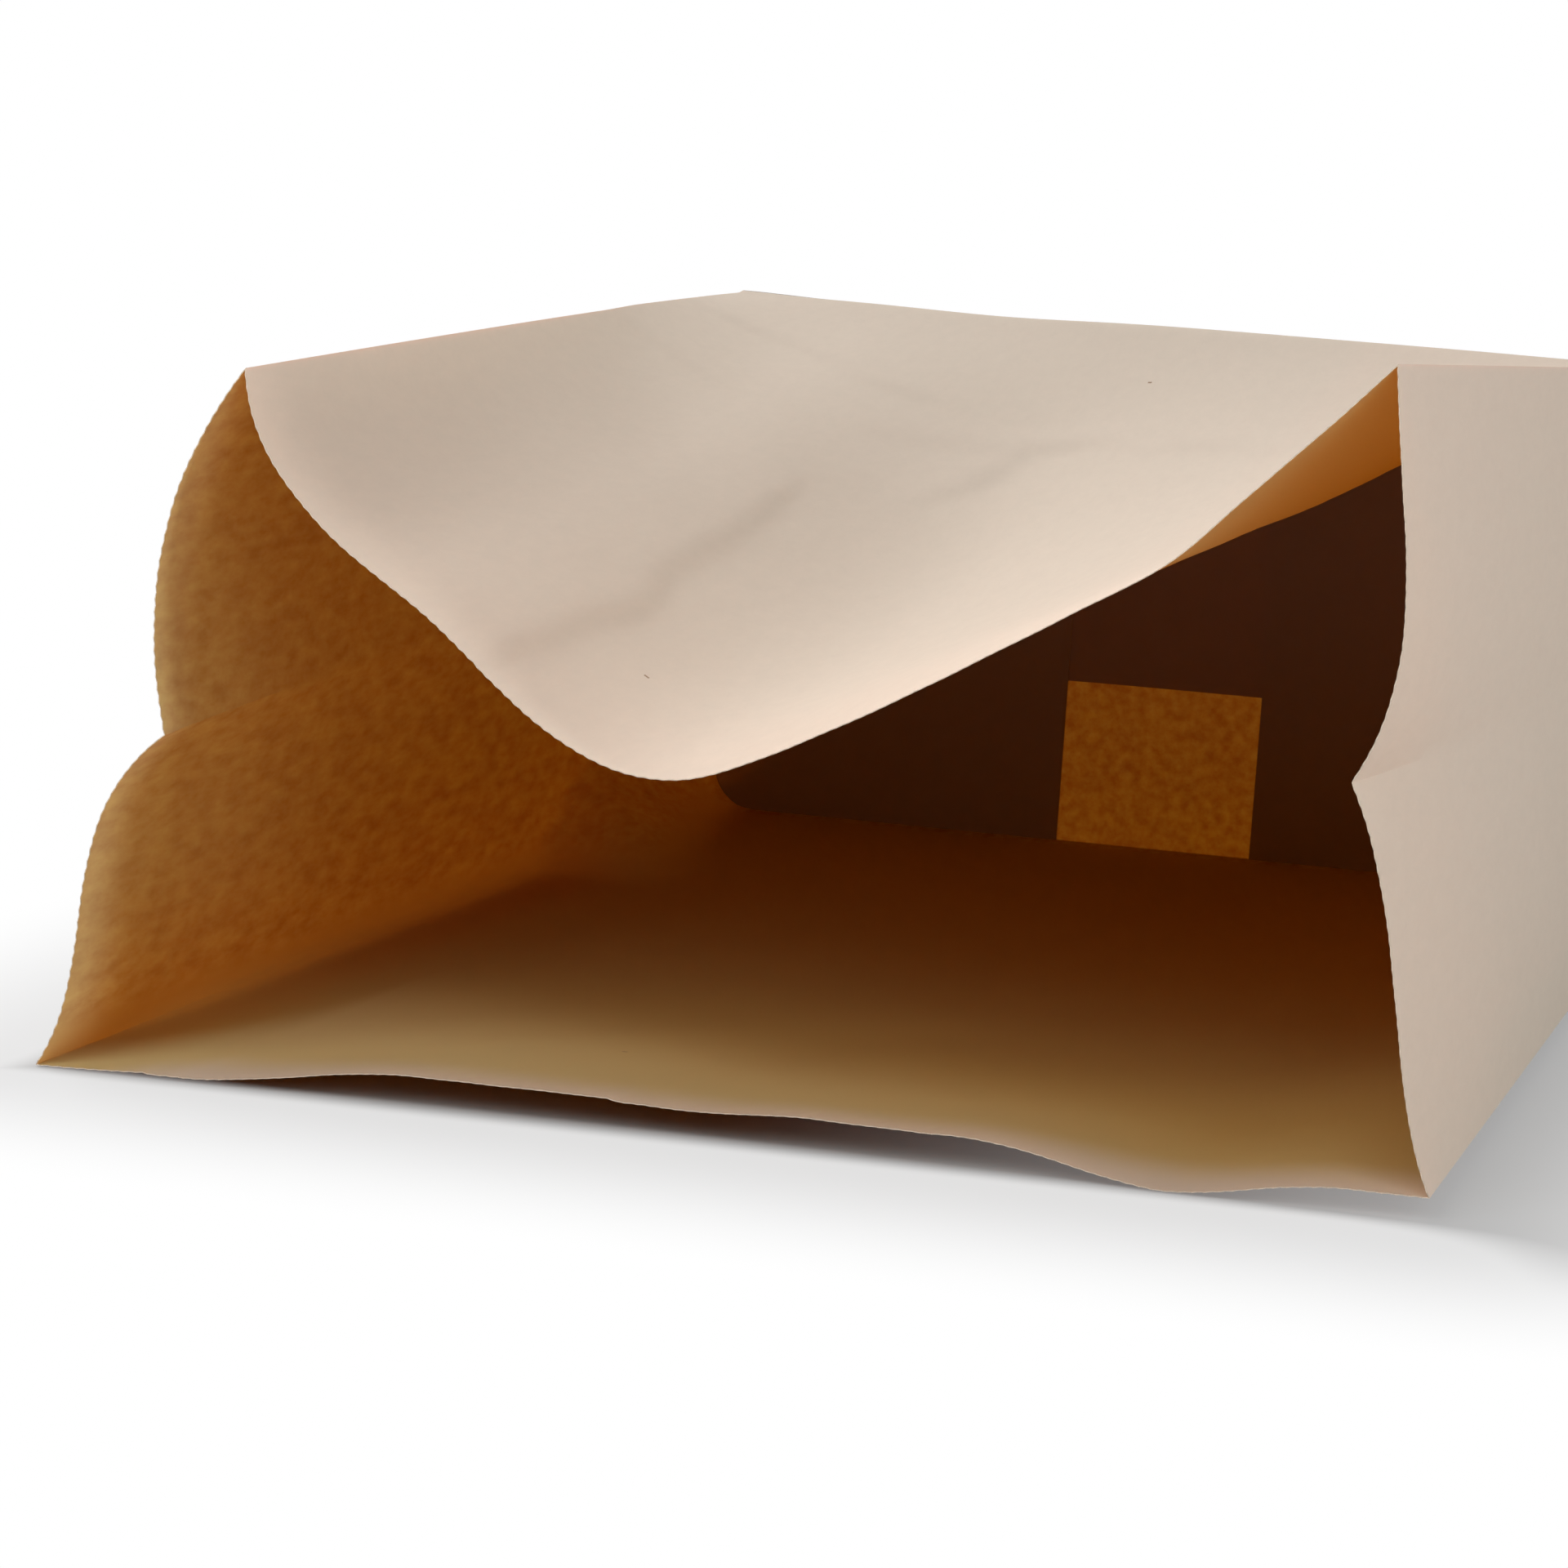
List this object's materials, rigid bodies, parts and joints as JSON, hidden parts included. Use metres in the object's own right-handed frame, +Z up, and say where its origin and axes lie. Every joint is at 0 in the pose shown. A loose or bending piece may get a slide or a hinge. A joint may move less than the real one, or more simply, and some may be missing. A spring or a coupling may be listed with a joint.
{
  "type": "block-bottom paper bag",
  "caption": "Block-bottom paper carrier bag with side gussets and no handles, lying open on its back panel with the front panel sagging into its mouth.",
  "frame": {"origin": "middle of the box around the bag, on the face that it lies on", "axes": "+X across the panels, to the right as seen through the mouth; +Y from the mouth to the folded bottom; +Z up from the back panel to the front panel"},
  "size_m": [0.22, 0.3664, 0.12],
  "materials": {
    "kraft_paper": "matte"
  },
  "bodies": {
    "root": {"paper_bag": "kraft_paper"}
  },
  "joints": []
}
